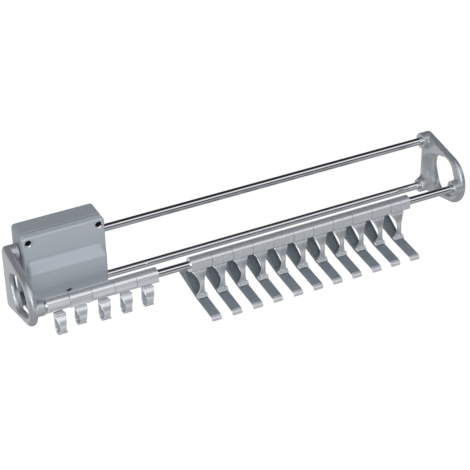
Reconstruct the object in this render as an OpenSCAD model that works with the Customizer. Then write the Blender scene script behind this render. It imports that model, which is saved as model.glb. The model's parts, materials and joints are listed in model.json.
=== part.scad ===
// Pull-out tie and belt rack for the side wall of a wardrobe, in millimetres.
// A small housing is screwed to the wall. Two chromed slide rails run through it and carry
// two end plates with hand holes. A third rail in front holds belt hooks and tie holders.
// Frame: the wall is the plane Y = 0, the rack stands towards -Y, X runs along the rails,
// and the origin is the middle of the housing's back face.

/* [Rails] */
// Clear length of the hook rail between the bosses of the end plates
inner_length = 462; // [450:1:520]
// Diameter of the three rails
rail_d = 8; // [7:0.1:8.6]
// Depth of the upper slide rail below the top of the housing
top_rail_drop = 22.6; // [20:0.1:26]
// Height of the lower slide rail above the bottom of the housing
low_rail_rise = 10.8; // [10:0.1:13]
// Distance of the hook rail in front of the slide rails
hook_rail_forward = 64.6; // [64:0.1:70]
// Depth of the hook rail below the middle of the housing
hook_rail_drop = 3; // [1:0.1:5]

/* [Housing] */
// Width of the housing along the rails
housing_w = 86.4; // [76:0.1:110]
// Height of the housing
housing_h = 90; // [84:0.1:104]
// Depth of the back shell
base_depth = 20; // [18:0.1:26]
// Depth of the recessed seam band between back shell and cover
seam_depth = 3.6; // [3:0.1:5]
// Depth of the front cover
cover_depth = 7.4; // [7:0.1:9]
// Depth that the belly of the cover stands out
belly_depth = 9.5; // [6:0.1:10]
// Distance of the mounting holes from the sides of the housing
screw_side = 6.4; // [5.5:0.1:12]
// Distance of the mounting holes from the top of the housing
screw_top = 7; // [6:0.1:12]
// Diameter of the mounting hole in the back wall
screw_hole_d = 3.8; // [3.5:0.1:4.5]
// Diameter of the screwdriver well in front of a mounting hole
well_d = 6.2; // [5:0.1:7]
// Diameter of the wider mouth of a screwdriver well
well_mouth_d = 8.2; // [7.4:0.1:9]

/* [End plates] */
// Thickness of an end plate
plate_t = 8.4; // [8:0.1:10]
// Length that the rail bosses stand out of an end plate
boss_len = 6.9; // [5:0.1:9]
// Radius of the round front of an end plate
nose_r = 27.3; // [26:0.1:29]

/* [Belt hooks] */
// Distance from one belt hook to the next
belt_pitch = 23.4; // [22.4:0.1:24]
// Diameter of the sleeves on the hook rail
sleeve_d = 16.6; // [15.6:0.1:17]
// Width of a belt hook's front strip under its sleeve
belt_top_w = 12.4; // [11:0.1:14]
// Width of a belt hook's front strip at its waist
belt_waist_w = 5.8; // [5:0.1:7]
// Width of a belt hook's back strip and bend
belt_low_w = 9.6; // [8:0.1:11]
// Thickness of the strip of a belt hook
belt_t = 1.9; // [1.5:0.1:2.2]

/* [Tie holders] */
// Distance from one tie holder to the next
tie_pitch = 23; // [22:0.1:23.4]
// Share of the free hook rail that lies between belt hooks and tie holders
gap_share = 0.395; // [0.2:0.005:0.6]
// Width of a tie arm
arm_w = 10.4; // [9:0.1:12]
// Width of the finger under the sleeve
finger_top_w = 16; // [13:0.1:18]
// Width of the finger at its waist
finger_waist_w = 4.4; // [4:0.1:6]
// Thickness of the finger
finger_t = 2; // [1.6:0.1:2.6]

/* [Hidden] */
$fn = 64;

// Overrun of every cut past the face that it opens
over = 1;
// Radial clearance of a rail in a sleeve, bush or socket
rail_fit = 0.05;
// Gap between neighbouring pieces on the hook rail
sleeve_gap = 0.3;
// Gap between the housing and a boss at each end of the travel
rest_gap = 0.5;

// Housing details
wall = 2.4;
back_wall = 3;
corner_r = 4;
edge_r = 2.2;
seam_inset = 0.6;
bush_wall = 1.6;
bush_len = 9;
bush_flange_r = 6.8;
bush_flange_t = 1.2;
bush_seat_wall = 1.5;
well_wall = 1.6;
well_mouth_depth = 3;
well_floor = 4;
label_w = 40;
label_top = 17;
label_low = 11;
label_depth = 0.5;
cover_screw_rise = 7.2;
cover_screw_head_d = 5.6;
cover_screw_head_t = 1.6;
cover_screw_d = 3;
cover_screw_len = 12;
cover_screw_gap = 0.1;
cover_screw_sink = 3;
belly_top = 18;
belly_full_top = 6;
belly_full_low = 10;
belly_low = 33;
belly_side = 1.6;
belly_corner_r = 11;
belly_root = 1;

// End plate details. Radii and places are those of the outline seen along the rails.
top_boss_r = 8.7;
low_boss_r = 7.6;
hook_boss_r = 8.3;
nose_back = 20;
nose_drop = 0;
outer_round = 6.5;
outer_round_depth = 4;
inner_round = 3.8;
socket_depth = 11;
hole_flare = 3.2;
hole_low = [24, -9.5];
hole_low_r = 14;
hole_top = [27, 5];
hole_top_r = 13.5;
hole_back = [37.5, 0.8];
hole_back_r = 13.7;
fairing_front = 28.6;
fairing_rise = 4.2;
fairing_r = 4.5;
fairing_h = 2;
strip_w = 3;
strip_h = 2;

// Belt hook details, seen along the hook rail with its axis as origin
belt_count = 5;
belt_start = 2.2;
keel_front = 7.4;
keel_back = 6;
keel_top = 3;
keel_drop = 9.2;
tip_gap = 1;
loop_r = 13;
loop_back = 1;
back_strip = 0.85;
foot_r = 5.7;
foot_drop = 26;
waist_drop = 26;
// Angle at which each belt hook stands, positive with its bottom towards the wall
belt_tilts = [-6.5, 11, 0, 3, 5.5];

// Tie holder details, seen along the hook rail with its axis as origin
tie_count = 11;
tie_keel_drop = 10.4;
tie_keel_front = 7;
tie_keel_back = 9;
finger_r = 25.4;
finger_back = 20.2;
finger_mid_drop = 27.6;
finger_waist_drop = 27;
finger_lip = 0.8;
arm_front = 34.6;
arm_seat = 41;
arm_t = 2.7;
arm_front_drop = 42.7;
ramp_foot = 3;
ramp_top = 27;
ramp_top_drop = 28;
arm_back = 43;
arm_back_drop = 37;
arm_back_r = 4;
strap_t = 3.6;
foot_w = 11;
foot_front = 6.6;
foot_back = 0.4;
foot_h = 2.6;
tip_len = 3.8;
tip_drop = 3.2;
tip_nose_drop = 1;
tip_margin = 0.15;
panel_w = 6.6;
panel_depth = 0.5;
panel_start = 3;
panel_len = 22;
// Angle at which each tie holder stands, positive with its back end up
tie_tilts = [0, 0.4, -0.3, 0.5, 0, -0.4, 0.3, 0.6, -0.2, 0.3, 0];

// Derived places
rail_r = rail_d / 2;
sleeve_r = sleeve_d / 2;
bore_r = rail_r + rail_fit;
housing_depth = base_depth + seam_depth + cover_depth;
rail_y = housing_depth / 2;
top_rail_z = housing_h / 2 - top_rail_drop;
low_rail_z = housing_h / 2 - low_rail_rise;
cover_screw_z = low_rail_z - cover_screw_rise;
screw_x = housing_w / 2 - screw_side;
screw_z = housing_h / 2 - screw_top;
hook_y = -rail_y - hook_rail_forward;
hook_z = -hook_rail_drop;
left_x = -housing_w / 2 - rest_gap;
right_x = left_x + inner_length;
loop_drop = foot_drop - sqrt(pow(loop_r - foot_r, 2) - pow(loop_back - back_strip + foot_r, 2));
belt_end = belt_start + belt_count * belt_pitch;
tie_start = belt_end + gap_share * (inner_length - belt_end - tie_count * tie_pitch);
bush_r = bore_r + bush_wall;
bush_seat_r = bush_r + bush_seat_wall;
rail_places = [[-rail_y, top_rail_z], [-rail_y, -low_rail_z]];

// Draws its flat shape as seen along the rails (first axis Y, second Z), from X = 0 to w
module along_x(w) {
    rotate([90, 0, 90]) linear_extrude(w) children();
}

// Draws its flat shape as seen from the front (first axis X, second Z), from Y = 0 to -d
module along_y(d) {
    rotate([90, 0, 0]) linear_extrude(d) children();
}

// Tangent points of the outer belt line from circle a to circle b, both given as [y, z, r]
function belt_points(a, b) =
    let (dy = b[0] - a[0], dz = b[1] - a[1])
    let (turn = atan2(dz, dy) - acos((a[2] - b[2]) / norm([dy, dz])))
    [for (c = [a, b]) [c[0] + c[2] * cos(turn), c[1] + c[2] * sin(turn)]];

// Flat shape inside a belt round circles that are listed counter-clockwise
module belt(circles) {
    n = len(circles);
    for (c = circles) translate([c[0], c[1]]) circle(c[2]);
    polygon([for (i = [0 : n - 1]) each belt_points(circles[i], circles[(i + 1) % n])]);
}

module rounded_rect(w, h, r) {
    square([w, h - 2 * r], center = true);
    square([w - 2 * r, h], center = true);
    for (sx = [-1, 1], sz = [-1, 1]) translate([sx * (w / 2 - r), sz * (h / 2 - r)]) circle(r);
}

// Bored places of the slide rails, from X = x for a length w, with radius r
module slide_rail_bars(x, w, r) {
    for (p = rail_places) translate([x, p[0], p[1]]) rotate([0, 90, 0]) cylinder(h = w, r = r);
}

// Cylinder along Y from depth y0 to y1 in front of the wall
module well(x, z, y0, y1, r) {
    translate([x, -y0, z]) rotate([90, 0, 0]) cylinder(h = y1 - y0, r = r);
}

// Back shell of the housing, with bush seats, screw wells and the seam band
module housing_base() {
    color([0.62, 0.65, 0.68]) difference() {
        union() {
            difference() {
                union() {
                    along_y(base_depth) rounded_rect(housing_w, housing_h, corner_r);
                    along_y(base_depth + seam_depth)
                        rounded_rect(housing_w - 2 * seam_inset, housing_h - 2 * seam_inset, corner_r - seam_inset);
                }
                translate([0, -back_wall, 0]) along_y(housing_depth)
                    rounded_rect(housing_w - 2 * wall, housing_h - 2 * wall, corner_r - seam_inset);
            }
            intersection() {
                union() {
                    slide_rail_bars(-housing_w / 2 + seam_inset, bush_len, bush_seat_r);
                    slide_rail_bars(housing_w / 2 - seam_inset - bush_len, bush_len, bush_seat_r);
                }
                along_y(base_depth + seam_depth) rounded_rect(housing_w, housing_h - 2 * seam_inset, corner_r);
            }
            for (s = [-1, 1])
                well(s * screw_x, screw_z, back_wall / 2, base_depth + seam_depth, well_d / 2 + well_wall / 2);
            well(0, -cover_screw_z, back_wall / 2, rail_y - rail_r - rest_gap, cover_screw_d / 2 + well_wall);
        }
        slide_rail_bars(-housing_w / 2 - over, housing_w + 2 * over, bush_r);
        for (s = [-1, 1]) {
            well(s * screw_x, screw_z, -over, base_depth, screw_hole_d / 2);
            well(s * screw_x, screw_z, well_floor, housing_depth, well_d / 2);
        }
    }
}

// Side view of the belly of the cover: a soft wave out above and back in below
module belly_profile() {
    steps = 8;
    front = -housing_depth;
    polygon(concat(
        [[front + belly_root, belly_top]],
        [for (i = [0 : steps]) let (t = i / steps)
            [front - belly_depth * (1 - cos(180 * t)) / 2, belly_top + (belly_full_top - belly_top) * t]],
        [for (i = [0 : steps]) let (t = i / steps)
            [front - belly_depth * (1 + cos(180 * t)) / 2, -belly_full_low - (belly_low - belly_full_low) * t]],
        [[front + belly_root, -belly_low]]
    ));
}

// Front cover of the housing, with its belly, screw wells and the shallow bare recess
module housing_cover() {
    cover_y = base_depth + seam_depth;
    belly_w = housing_w - 2 * belly_side;
    color([0.64, 0.67, 0.7]) difference() {
        union() {
            hull() for (sx = [-1, 1], sz = [-1, 1])
                translate([sx * (housing_w / 2 - corner_r), -cover_y, sz * (housing_h / 2 - corner_r)])
                    rotate([90, 0, 0]) rotate_extrude($fn = 32) {
                        square([corner_r, cover_depth - edge_r]);
                        square([corner_r - edge_r, cover_depth]);
                        translate([corner_r - edge_r, cover_depth - edge_r]) intersection() {
                            circle(edge_r);
                            square(edge_r);
                        }
                    }
            intersection() {
                translate([-belly_w / 2, 0, 0]) along_x(belly_w) belly_profile();
                translate([0, 0, (belly_top - belly_low) / 2])
                    along_y(housing_depth + belly_depth + over)
                    rounded_rect(belly_w, belly_top + belly_low, belly_corner_r);
            }
        }
        // Hollow inside
        difference() {
            translate([0, over - cover_y, 0]) along_y(over + cover_depth - wall)
                rounded_rect(housing_w - 2 * wall, housing_h - 2 * wall, corner_r - edge_r);
            for (s = [-1, 1])
                well(s * screw_x, screw_z, cover_y, housing_depth, well_mouth_d / 2 + well_wall);
            well(0, -cover_screw_z, cover_y, housing_depth, cover_screw_head_d / 2 + well_wall);
        }
        for (s = [-1, 1]) {
            well(s * screw_x, screw_z, 0, housing_depth + over, well_d / 2);
            well(s * screw_x, screw_z, housing_depth - well_mouth_depth, housing_depth + over, well_mouth_d / 2);
        }
        well(0, -cover_screw_z, 0, housing_depth + over, cover_screw_d / 2 + cover_screw_gap);
        well(0, -cover_screw_z, housing_depth - cover_screw_sink, housing_depth + belly_depth + over,
            cover_screw_head_d / 2 + cover_screw_gap);
        // Shallow bare recess that follows the belly
        difference() {
            translate([-label_w / 2, label_depth - housing_depth, -label_low])
                cube([label_w, label_depth + belly_depth + over, label_top + label_low]);
            translate([-label_w, label_depth, 0]) along_x(2 * label_w) belly_profile();
        }
    }
}

// Screw that closes the housing below its middle
module cover_screw() {
    seat = housing_depth - cover_screw_sink;
    color([0.75, 0.76, 0.78]) {
        well(0, -cover_screw_z, seat - cover_screw_len, seat, cover_screw_d / 2);
        difference() {
            well(0, -cover_screw_z, seat, seat + cover_screw_head_t, cover_screw_head_d / 2);
            for (turn = [0, 90]) translate([0, -seat - cover_screw_head_t, -cover_screw_z]) rotate([0, turn, 0])
                cube([cover_screw_head_d * 0.6, cover_screw_head_t, cover_screw_head_d * 0.16], center = true);
        }
    }
}

// Plain bush with an inner flange, for one end of a slide rail; side is -1 left or 1 right
module bush(place, side) {
    outer_x = housing_w / 2 - seam_inset;
    color([0.2, 0.2, 0.22]) translate([side * outer_x, place[0], place[1]]) rotate([0, -90 * side, 0])
        difference() {
            union() {
                cylinder(h = bush_len + bush_flange_t, r = bush_r);
                translate([0, 0, bush_len]) cylinder(h = bush_flange_t, r = bush_flange_r);
            }
            translate([0, 0, -over]) cylinder(h = bush_len + bush_flange_t + 2 * over, r = bore_r);
        }
}

// One rail between the blind sockets of the two end plates
module rail(y, z) {
    color([0.85, 0.86, 0.87]) translate([left_x - socket_depth, y, z]) rotate([0, 90, 0])
        cylinder(h = inner_length + 2 * socket_depth, r = rail_r);
}

// Half profile of a disc of radius r with its two differently rounded edges, outer face up
module disc_profile(r) {
    steps = 6;
    polygon(concat(
        [[0, 0], [r - inner_round, 0]],
        [for (i = [1 : steps - 1]) let (a = 90 * i / steps)
            [r - inner_round + inner_round * sin(a), inner_round * (1 - cos(a))]],
        [[r, inner_round], [r, plate_t - outer_round_depth]],
        [for (i = [1 : steps]) let (a = 90 * i / steps)
            [r - outer_round + outer_round * cos(a), plate_t - outer_round_depth + outer_round_depth * sin(a)]],
        [[0, plate_t]]
    ));
}

// Round cutters of the hand hole grown by g, in the plate's own frame
hand_hole = [[hole_low[0], hole_low[1], hole_low_r], [hole_back[0], hole_back[1], hole_back_r],
    [hole_top[0], hole_top[1], hole_top_r]];

// Solid between the hand hole grown by g0 at height h0 and grown by g1 at height h1
module hole_step(h0, g0, h1, g1) {
    skin = hole_flare / 100;
    hull() for (c = hand_hole) {
        translate([c[0], c[1], h0]) cylinder(h = skin, r = c[2] + g0, $fn = 48);
        translate([c[0], c[1], h1 - skin]) cylinder(h = skin, r = c[2] + g1, $fn = 48);
    }
}

// End plate in its own frame: first axis away from the front, second up, third outwards,
// with the axis of the hook rail as origin and the inner face of the web at height 0
module plate_shape() {
    top = [hook_rail_forward, top_rail_z + hook_rail_drop];
    low = [hook_rail_forward, hook_rail_drop - low_rail_z];
    bow = hole_flare * (1 - sqrt(0.5));
    difference() {
        union() {
            hull() {
                translate([nose_back, -nose_drop, 0]) rotate_extrude($fn = 72) disc_profile(nose_r);
                translate([top[0], top[1], 0]) rotate_extrude($fn = 32) disc_profile(top_boss_r);
                translate([low[0], low[1], 0]) rotate_extrude($fn = 32) disc_profile(low_boss_r);
            }
            hull() {
                translate([low[0], low[1], -boss_len]) cylinder(h = boss_len + inner_round, r = low_boss_r, $fn = 32);
                translate([low[0] - fairing_front, low[1] + fairing_rise, -fairing_h])
                    cylinder(h = fairing_h + inner_round, r = fairing_r, $fn = 32);
            }
            translate([top[0], top[1], -boss_len]) cylinder(h = boss_len + inner_round, r = top_boss_r);
            translate([0, 0, -boss_len]) cylinder(h = boss_len + inner_round, r = hook_boss_r);
            translate([top[0] + top_boss_r - inner_round - strip_w, low[1], -strip_h])
                cube([strip_w, top[1] - low[1], strip_h + inner_round]);
        }
        // Hand hole with rounded edges
        translate([0, 0, -boss_len - over]) linear_extrude(boss_len + plate_t + 2 * over) belt(hand_hole);
        hole_step(-over, hole_flare + over, bow, bow);
        hole_step(bow, bow, hole_flare, 0);
        hole_step(plate_t - hole_flare, 0, plate_t - bow, bow);
        hole_step(plate_t - bow, bow, plate_t + over, hole_flare + over);
        // Blind sockets of the rails
        for (p = [[0, 0], top, low])
            translate([p[0], p[1], -boss_len - over]) cylinder(h = socket_depth + over, r = bore_r);
    }
}

module plate_left() {
    color([0.5, 0.52, 0.54]) translate([left_x - boss_len, hook_y, hook_z])
        mirror([1, 0, 0]) rotate([90, 0, 90]) plate_shape();
}

module plate_right() {
    color([0.5, 0.52, 0.54]) translate([right_x + boss_len, hook_y, hook_z])
        rotate([90, 0, 90]) plate_shape();
}

// Side view of a sleeve: round, with a flat keel below
module sleeve_outline(front, back, drop) {
    difference() {
        union() {
            circle(sleeve_r);
            polygon([[-sleeve_r, 0], [-front - belt_t / 5, -keel_top], [-front, -drop], [back, -drop],
                [sleeve_r, -keel_top / 2], [0, 0]]);
        }
        circle(bore_r);
    }
}

// Side view of the belt loop, filled, with its outline moved in by t. The small circle of the
// bend touches the large circle of the front from inside, so one runs smoothly into the other.
module belt_loop(t) {
    bend = back_strip - foot_r;
    touch = atan2(loop_drop - foot_drop, bend - loop_back);
    intersection() {
        translate([loop_back, -loop_drop]) circle(loop_r - t);
        union() {
            translate([-loop_r, -foot_drop]) square([loop_r + back_strip - t, foot_drop - tip_gap]);
            translate([bend, -foot_drop])
                polygon([[0, over], [-loop_r, over], 2 * loop_r * [cos(touch), sin(touch)]]);
        }
    }
    translate([bend, -foot_drop]) circle(foot_r - t);
}

// Side view of the strip of a belt hook, open between its tip and the sleeve
module belt_strip() {
    difference() {
        belt_loop(0);
        belt_loop(belt_t);
        translate([-loop_r, -keel_drop]) square([2 * loop_r, keel_drop]);
        translate([-loop_r, -keel_drop - tip_gap]) square([loop_r - belt_t, tip_gap + over]);
    }
}

// Front view of the front strip: from its tip it narrows to a waist, then widens to the bend
module belt_front() {
    steps = 16;
    rise = waist_drop - keel_drop - tip_gap;
    fall = foot_drop + foot_r - belt_t - waist_drop;
    waist_r = (pow(rise, 2) + pow((belt_top_w - belt_waist_w) / 2, 2)) / (belt_top_w - belt_waist_w);
    side = concat(
        [for (i = [0 : steps]) let (up = rise * (1 - i / steps))
            [belt_waist_w / 2 + waist_r - sqrt(pow(waist_r, 2) - pow(up, 2)), up - waist_drop]],
        [for (i = [1 : steps / 2]) let (t = 2 * i / steps)
            [belt_waist_w / 2 + (belt_low_w - belt_waist_w) * (1 - cos(180 * t)) / 4, -waist_drop - fall * t]],
        [[belt_low_w / 2, -foot_drop - foot_r - over]]
    );
    n = len(side);
    polygon(concat(side, [for (i = [n - 1 : -1 : 0]) [-side[i][0], side[i][1]]]));
}

// One belt hook: sleeve, keel and a looped strip with a waist in front
module belt_hook(i) {
    sleeve_len = belt_pitch - sleeve_gap;
    bend = back_strip - foot_r;
    color([0.8, 0.82, 0.84])
        translate([left_x + belt_start + i * belt_pitch, hook_y, hook_z]) rotate([belt_tilts[i], 0, 0]) {
            along_x(sleeve_len) sleeve_outline(keel_front, keel_back, keel_drop);
            translate([belt_pitch / 2, 0, 0]) {
                // Back strip and the back half of the bend
                translate([-belt_low_w / 2, 0, 0]) along_x(belt_low_w) intersection() {
                    belt_strip();
                    translate([bend, -foot_drop - foot_r - over]) square([loop_r, foot_drop + foot_r + over]);
                }
                // Front strip and the front half of the bend
                intersection() {
                    translate([-belt_top_w / 2, 0, 0]) along_x(belt_top_w) intersection() {
                        belt_strip();
                        translate([-loop_r, -foot_drop - foot_r - over])
                            square([loop_r + bend, foot_drop + foot_r + over]);
                    }
                    along_y(loop_r) belt_front();
                }
            }
        }
}

// Moves a tie holder's piece to its place on the hook rail
module tie_place(i) {
    translate([left_x + tie_start + i * tie_pitch, hook_y, hook_z]) rotate([tie_tilts[i], 0, 0]) children();
}

// Sleeve and finger of a tie holder
module tie_clip(i) {
    sleeve_len = tie_pitch - sleeve_gap;
    mid = tie_pitch / 2;
    rise = finger_waist_drop - tie_keel_drop - finger_lip;
    waist_r = (pow(rise, 2) + pow((finger_top_w - finger_waist_w) / 2, 2)) / (finger_top_w - finger_waist_w);
    color([0.72, 0.74, 0.76]) tie_place(i) {
        along_x(sleeve_len) sleeve_outline(tie_keel_front, tie_keel_back, tie_keel_drop);
        // Finger: a curved strip, narrowed to a waist
        intersection() {
            translate([mid - finger_top_w / 2, 0, 0]) along_x(finger_top_w) intersection() {
                translate([finger_back, -finger_mid_drop]) difference() {
                    circle(finger_r);
                    circle(finger_r - finger_t);
                }
                translate([-finger_r, -arm_seat + foot_h / 2])
                    square([finger_r + tie_keel_back, arm_seat - foot_h / 2 - tie_keel_drop + over]);
            }
            translate([mid, finger_r, 0]) along_y(2 * finger_r) difference() {
                translate([-finger_top_w / 2, -arm_seat]) square([finger_top_w, arm_seat]);
                for (s = [-1, 1])
                    translate([s * (finger_waist_w / 2 + waist_r), -finger_waist_drop]) circle(waist_r, $fn = 120);
            }
        }
        // Foot that stands on the arm
        translate([mid - foot_w / 2, 0, 0]) along_x(foot_w) polygon([
            [-foot_front, -arm_seat], [-foot_back, -arm_seat], [-foot_back, -arm_seat + foot_h],
            [-foot_front + foot_h, -arm_seat + foot_h], [-foot_front, -arm_seat + foot_h / 2],
        ]);
    }
}

// Side view of the arm: thin front strip, level seat, rising ramp, round back and root strap
module arm_outline() {
    steps = 10;
    mid = [arm_back - arm_back_r, arm_back_r - arm_back_drop];
    under = belt_points([0, -arm_seat - arm_t, 0], [mid[0], mid[1], arm_back_r])[1] - mid;
    upper = belt_points([mid[0], mid[1], arm_back_r], [tie_keel_back, -tie_keel_drop, 0])[0] - mid;
    start = atan2(under[1], under[0]);
    turn = (atan2(upper[1], upper[0]) - start) / steps;
    polygon(concat(
        [[-arm_front, -arm_front_drop], [-foot_front, -arm_seat], [ramp_foot, -arm_seat],
            [ramp_top, -ramp_top_drop], [tie_keel_back - strap_t, -tie_keel_drop], [tie_keel_back, -tie_keel_drop]],
        [for (i = [steps : -1 : 0]) mid + arm_back_r * [cos(start + i * turn), sin(start + i * turn)]],
        [[0, -arm_seat - arm_t], [-arm_front, -arm_front_drop - arm_t]]
    ));
}

// Arm of a tie holder, with a shallow panel in its ramp
module tie_arm(i) {
    ramp_turn = atan2(arm_seat - ramp_top_drop, ramp_top - ramp_foot);
    color([0.42, 0.45, 0.48]) tie_place(i) translate([tie_pitch / 2, 0, 0]) difference() {
        translate([-arm_w / 2, 0, 0]) along_x(arm_w) arm_outline();
        translate([0, ramp_foot, -arm_seat]) rotate([ramp_turn, 0, 0])
            translate([-panel_w / 2, panel_start, -panel_depth]) cube([panel_w, panel_len, panel_depth + over]);
    }
}

// Bright cap on the front end of a tie arm
module tie_tip(i) {
    color([0.85, 0.86, 0.88]) tie_place(i)
        translate([tie_pitch / 2 - arm_w / 2 - tip_margin, 0, 0]) along_x(arm_w + 2 * tip_margin) polygon([
            [-arm_front, -arm_front_drop + tip_margin],
            [-arm_front - tip_len * 0.6, -arm_front_drop - tip_margin],
            [-arm_front - tip_len, -arm_front_drop - tip_nose_drop - tip_margin],
            [-arm_front - tip_len, -arm_front_drop - arm_t - tip_drop * 0.6],
            [-arm_front - tip_len * 0.7, -arm_front_drop - arm_t - tip_drop],
            [-arm_front, -arm_front_drop - arm_t - tip_margin],
        ]);
}

housing_base();
housing_cover();
cover_screw();
bush(rail_places[0], -1);  // bush_top_left
bush(rail_places[0], 1);  // bush_top_right
bush(rail_places[1], -1);  // bush_low_left
bush(rail_places[1], 1);  // bush_low_right
rail(-rail_y, top_rail_z);  // rail_top
rail(-rail_y, -low_rail_z);  // rail_low
rail(hook_y, hook_z);  // rail_hook
plate_left();
plate_right();
for (i = [0 : belt_count - 1]) belt_hook(i);
for (i = [0 : tie_count - 1]) tie_clip(i);
for (i = [0 : tie_count - 1]) tie_arm(i);
for (i = [0 : tie_count - 1]) tie_tip(i);
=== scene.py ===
# %% [markdown]
# This lesson dresses a pull-out rack for ties and belts. A small housing is screwed to the
# side wall of a wardrobe. Two chromed rails slide through it and carry two end plates, and a
# third rail in front holds belt hooks and tie holders. The solid model is loaded first. It is
# a fixed frame: nothing in it moves, and every new piece takes its place from it.

# %% Load the frame
import json
import math

import bmesh
import bpy
from mathutils import Matrix, Vector


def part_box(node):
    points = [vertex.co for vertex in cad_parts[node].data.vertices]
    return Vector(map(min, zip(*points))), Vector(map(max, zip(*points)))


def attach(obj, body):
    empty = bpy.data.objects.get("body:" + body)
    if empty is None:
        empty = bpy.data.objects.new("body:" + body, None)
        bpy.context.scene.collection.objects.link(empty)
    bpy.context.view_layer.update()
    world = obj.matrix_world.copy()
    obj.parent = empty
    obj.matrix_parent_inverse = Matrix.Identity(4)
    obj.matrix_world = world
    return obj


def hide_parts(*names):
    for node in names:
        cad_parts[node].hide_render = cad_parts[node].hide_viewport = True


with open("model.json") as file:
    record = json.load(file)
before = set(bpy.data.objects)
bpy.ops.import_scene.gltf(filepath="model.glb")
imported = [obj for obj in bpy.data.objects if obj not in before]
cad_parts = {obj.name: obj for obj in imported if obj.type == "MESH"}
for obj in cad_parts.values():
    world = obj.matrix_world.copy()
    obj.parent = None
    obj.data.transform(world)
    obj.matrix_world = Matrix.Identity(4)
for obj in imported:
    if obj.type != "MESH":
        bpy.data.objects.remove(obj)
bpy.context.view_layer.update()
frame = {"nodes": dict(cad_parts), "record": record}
MM = 0.001

# %% [markdown]
# The places of the real pieces are read from the solids' boxes: the middle of each rail, the
# inner faces of the end plates, the cover screw and the left end of each hook. The housing's
# measures and all details are written in millimetres and multiplied by MM. Points (y, z) are
# seen along the rails.

# %% Read the places of the solids


def middle(node):
    low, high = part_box(node)
    return (low + high) / 2


rail_r = (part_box("rail_hook")[1].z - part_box("rail_hook")[0].z) / 2
BORE_R = rail_r / MM + 0.05  # a hair wider than the rail
hook_axis = middle("rail_hook")
slide_rails = [middle("rail_top"), middle("rail_low")]
screw_place = middle("cover_screw")
print("hook rail at", tuple(round(c, 4) for c in hook_axis), "radius", round(rail_r, 4))

# %% [markdown]
# The camera comes next, because every later choice is judged through it. Its place was solved
# from the photograph with the evenly spaced hooks as a ruler: it looks from the left front,
# about 33 degrees down, with a long lens that keeps the rails nearly parallel. The roll is
# small. A camera's matrix holds its right, up and backward directions as columns.

# %% Place the camera
AZIMUTH = math.radians(-25.795)
ELEVATION = math.radians(33.423)
ROLL = math.radians(-1.020)
FOCAL_PX = 1622.26
PHOTO_PX = 470
SENSOR_MM = 36
backward = Vector((
    math.sin(AZIMUTH) * math.cos(ELEVATION),
    -math.cos(AZIMUTH) * math.cos(ELEVATION),
    math.sin(ELEVATION),
))
level_right = Vector((0, 0, 1)).cross(backward).normalized()
level_up = backward.cross(level_right)
right = level_right * math.cos(ROLL) + level_up * math.sin(ROLL)
up = level_up * math.cos(ROLL) - level_right * math.sin(ROLL)
camera = bpy.data.objects.new("camera", bpy.data.cameras.new("camera"))
bpy.context.collection.objects.link(camera)
camera.matrix_world = Matrix((right, up, backward)).transposed().to_4x4()
camera.location = Vector((-426.5, -1297.7, 909.1)) * MM
camera.data.sensor_width = SENSOR_MM
camera.data.lens = SENSOR_MM * FOCAL_PX / PHOTO_PX
bpy.context.scene.camera = camera
print("lens", round(camera.data.lens, 2), "mm")

# %% [markdown]
# The studio is a pale floor, a soft world and three large lamps. The rack hangs well above
# the floor, so its shadow is soft and falls low. To camera and glass rays the floor is plain
# white, as on the photograph, and the world a plain pale tone; the rest of the floor's shader
# is a diffuse one that keeps the shadow. Chrome only looks like chrome when it has something
# dark to mirror, so mirror rays see bands instead: the floor's grey changes with the distance
# from the wall, and the world's with the turn about the rails.

# %% Build the studio
bpy.context.scene.view_settings.view_transform = "Standard"
FLOOR_DROP = 0.62
FLOOR_SIZE = 40
FLOOR_WHITE = 1.07
FLOOR_GLOW_SHARE = 0.85
SOFT_WORLD = 0.78
# What mirror rays see: grey levels by metres along Y on the floor, by degrees in the world
FLOOR_STOPS = [(-10, 0.15), (-6, 0.45), (-1.4, 0.5), (-0.8, 0.22), (0.3, 0.25), (0.8, 0.8)]
WORLD_STOPS = [(-180, 0.3), (-2, 0.12), (6, 0.07), (24, 0.07), (32, 0.2), (42, 1.0),
               (64, 1.0), (74, 0.12), (84, 0.03), (150, 0.03), (170, 0.05), (180, 0.10)]


def calculated(tree, operation, first, second):
    """The result of a Math node; each side is a socket or a number."""
    node = tree.nodes.new("ShaderNodeMath")
    node.operation = operation
    for side, socket in zip((first, second), node.inputs):
        if isinstance(side, bpy.types.NodeSocket):
            tree.links.new(side, socket)
        else:
            socket.default_value = side
    return node.outputs[0]


def ray_mask(tree, names):
    """The largest of the named Light Path outputs, so any of those rays gives 1."""
    path = tree.nodes.new("ShaderNodeLightPath")
    mask = path.outputs[names[0]]
    for name in names[1:]:
        mask = calculated(tree, "MAXIMUM", mask, path.outputs[name])
    return mask


def set_stops(ramp, stops):
    """Gives a Color Ramp its stops as (place from 0 to 1, grey level)."""
    ramp.color_ramp.elements.remove(ramp.color_ramp.elements[1])
    for number, (place, level) in enumerate(stops):
        elements = ramp.color_ramp.elements
        stop = elements[0] if number == 0 else elements.new(place)
        stop.position = place
        stop.color = (level, level, level * 1.03, 1)


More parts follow.
